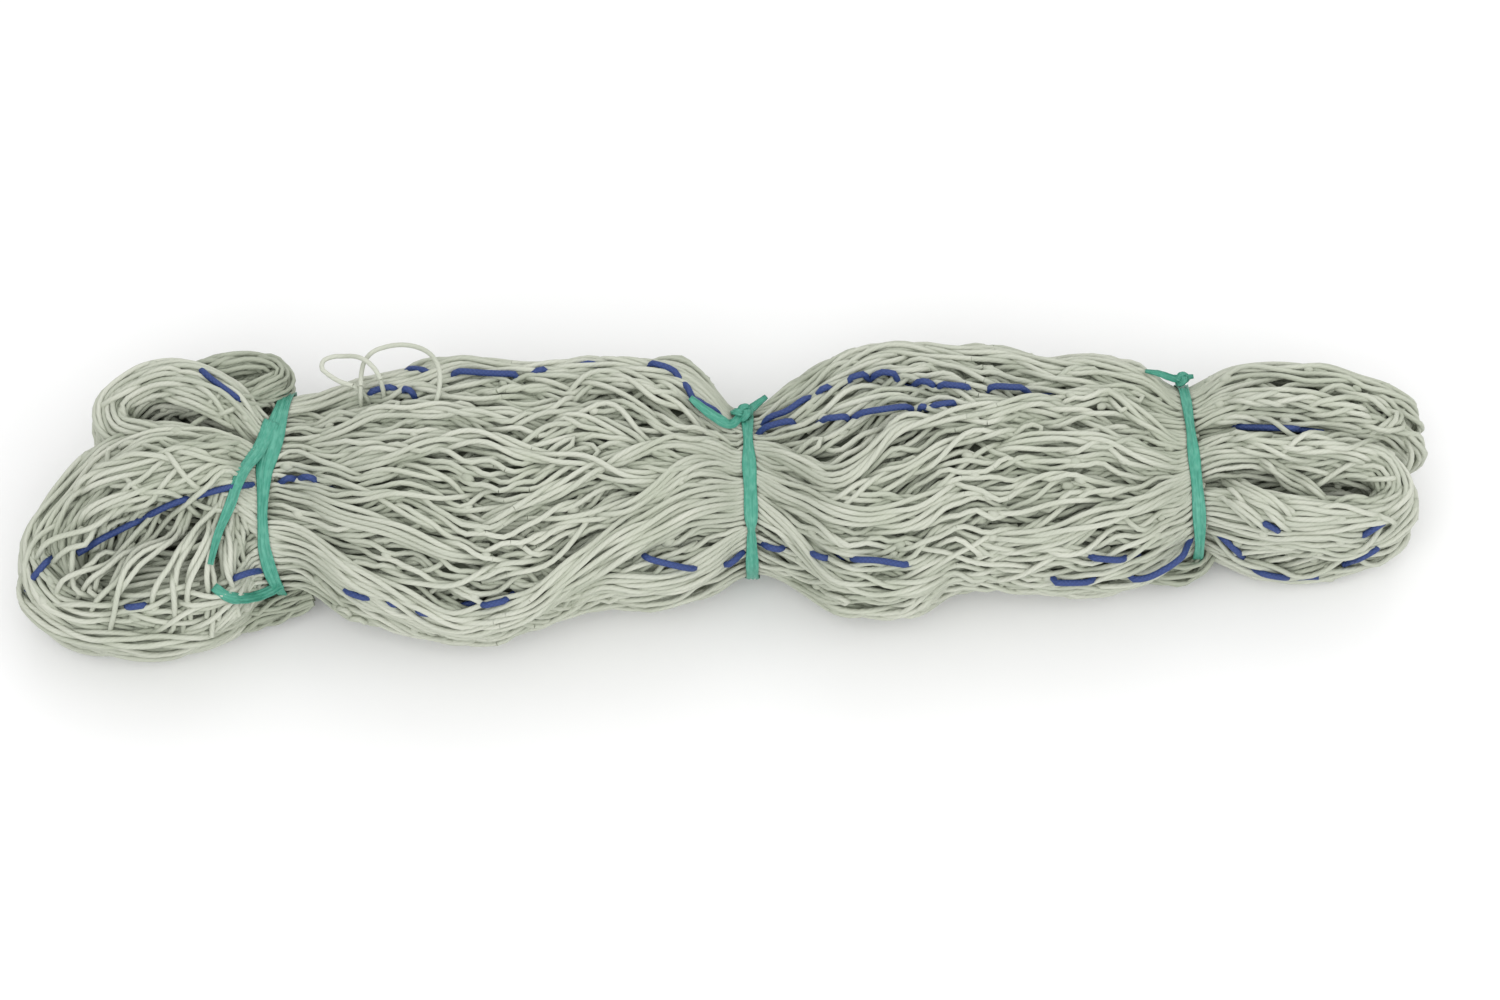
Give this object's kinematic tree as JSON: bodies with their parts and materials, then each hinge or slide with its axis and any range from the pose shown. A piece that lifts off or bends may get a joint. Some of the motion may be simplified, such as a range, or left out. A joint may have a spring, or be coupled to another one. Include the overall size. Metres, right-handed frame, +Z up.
{
  "type": "tennis net",
  "caption": "Gathered tennis net folded into a long hank and tied with flat tape, with knotted twine mesh and a coloured border cord.",
  "frame": {"origin": "bottom centre of the hank's box without the two loose twine loops, on the floor", "axes": "+X along the hank from its left end to its right end, +Z up, -Y towards the viewer"},
  "size_m": [0.708, 0.1562, 0.0941],
  "materials": {
    "netting_twine": "off-white knotted polyethylene twine, dull",
    "blue_border_cord": "blue braided border cord, slightly shiny",
    "green_tape": "thin green plastic tape, creased, half gloss"
  },
  "bodies": {
    "left_middle": {"left_middle_fold_1": "netting_twine", "left_middle_fold_2": "netting_twine", "left_middle_fold_3": "netting_twine", "left_middle_fold_4": "netting_twine", "left_middle_fold_5": "netting_twine", "left_middle_fold_6": "netting_twine", "waist_1": "netting_twine", "waist_2": "netting_twine", "tie_1_band": "green_tape", "tie_1_split_end": "green_tape", "tie_2_band": "green_tape", "tie_2_knot": "green_tape", "tie_2_left_end": "green_tape", "tie_2_right_end": "green_tape", "head_cord_left_middle": "blue_border_cord", "foot_cord_left_middle": "blue_border_cord", "loose_twine_left": "netting_twine", "loose_twine_right": "netting_twine"},
    "left_end": {"left_end_fold_1": "netting_twine", "left_end_fold_2": "netting_twine", "left_end_fold_3": "netting_twine", "left_end_fold_4": "netting_twine", "left_end_fold_5": "netting_twine", "left_end_fold_6": "netting_twine", "tie_1_lower_end": "green_tape", "side_cord_left_end_top": "blue_border_cord", "side_cord_left_end_main": "blue_border_cord"},
    "right_middle": {"right_middle_fold_1": "netting_twine", "right_middle_fold_2": "netting_twine", "right_middle_fold_3": "netting_twine", "right_middle_fold_4": "netting_twine", "right_middle_fold_5": "netting_twine", "right_middle_fold_6": "netting_twine", "waist_3": "netting_twine", "tie_3_band": "green_tape", "tie_3_knot": "green_tape", "tie_3_left_end": "green_tape", "tie_3_right_end": "green_tape", "head_cord_right_middle_high": "blue_border_cord", "head_cord_right_middle_low": "blue_border_cord", "foot_cord_right_middle": "blue_border_cord"},
    "right_end": {"right_end_fold_1": "netting_twine", "right_end_fold_2": "netting_twine", "right_end_fold_3": "netting_twine", "right_end_fold_4": "netting_twine", "right_end_fold_5": "netting_twine", "right_end_fold_6": "netting_twine", "head_cord_right_end": "blue_border_cord", "foot_cord_right_end": "blue_border_cord"}
  },
  "joints": [
    {"name": "tie_1_bend", "type": "hinge", "parent": "left_middle", "child": "left_end", "pos_m": [-0.219, 0.005, 0.038], "axis": [0, 0, 1], "range_deg": [-20, 20]},
    {"name": "tie_2_bend", "type": "hinge", "parent": "left_middle", "child": "right_middle", "pos_m": [0.013, 0.006, 0.038], "axis": [0, 0, 1], "range_deg": [-20, 20]},
    {"name": "tie_3_bend", "type": "hinge", "parent": "right_middle", "child": "right_end", "pos_m": [0.235, 0.018, 0.038], "axis": [0, 0, 1], "range_deg": [-20, 20]}
  ]
}
